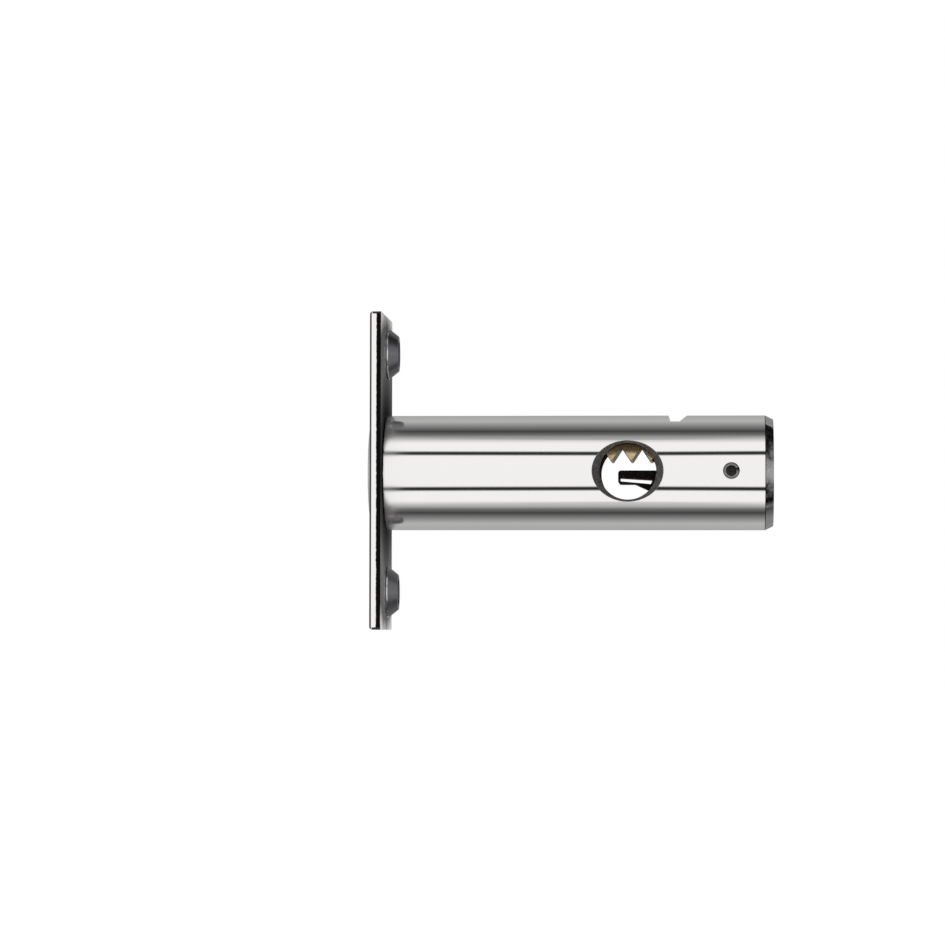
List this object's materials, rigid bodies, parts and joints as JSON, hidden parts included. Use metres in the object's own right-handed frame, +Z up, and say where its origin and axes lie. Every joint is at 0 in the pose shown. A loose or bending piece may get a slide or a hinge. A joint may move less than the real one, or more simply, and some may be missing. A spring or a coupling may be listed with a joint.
{
  "type": "mortice rack bolt",
  "caption": "Tubular door-edge deadbolt: round bolt in a case tube behind an oblong faceplate, thrown by a splined key through a cross hole.",
  "frame": {"origin": "on the case tube's axis, in the faceplate's back face, which seats on the door's edge", "axes": "+X along the tube into the door, +Y along the key's axis, +Z up; the bolt throws towards -X"},
  "size_m": [0.0613, 0.022, 0.048],
  "materials": {
    "plate_chrome": "polished chrome plate on pressed steel",
    "tube_nickel": "bright nickel plate on steel tube",
    "bolt_brass": "turned brass",
    "plug_zinc": "bright plated die-cast zinc",
    "pin_steel": "ground spring steel",
    "lever_steel": "blackened steel",
    "spring_steel": "drawn music wire"
  },
  "bodies": {
    "case": {"faceplate": "plate_chrome", "case_tube": "tube_nickel", "end_plug": "plug_zinc", "roll_pin": "pin_steel", "lever_spring": "spring_steel"},
    "bolt": {"bolt": "bolt_brass"},
    "lever": {"release_lever": "lever_steel"}
  },
  "joints": [
    {"name": "bolt_slide", "type": "slide", "parent": "case", "child": "bolt", "axis": [-1, 0, 0], "range_m": [0, 0.012]},
    {"name": "lever_pivot", "type": "hinge", "parent": "case", "child": "lever", "pos_m": [0.0527, 0, 0], "axis": [0, -1, 0], "range_deg": [0, 14], "stiffness_Nm_per_rad": 0.02, "springref_deg": -9.74, "deforming": ["lever_spring"]}
  ]
}
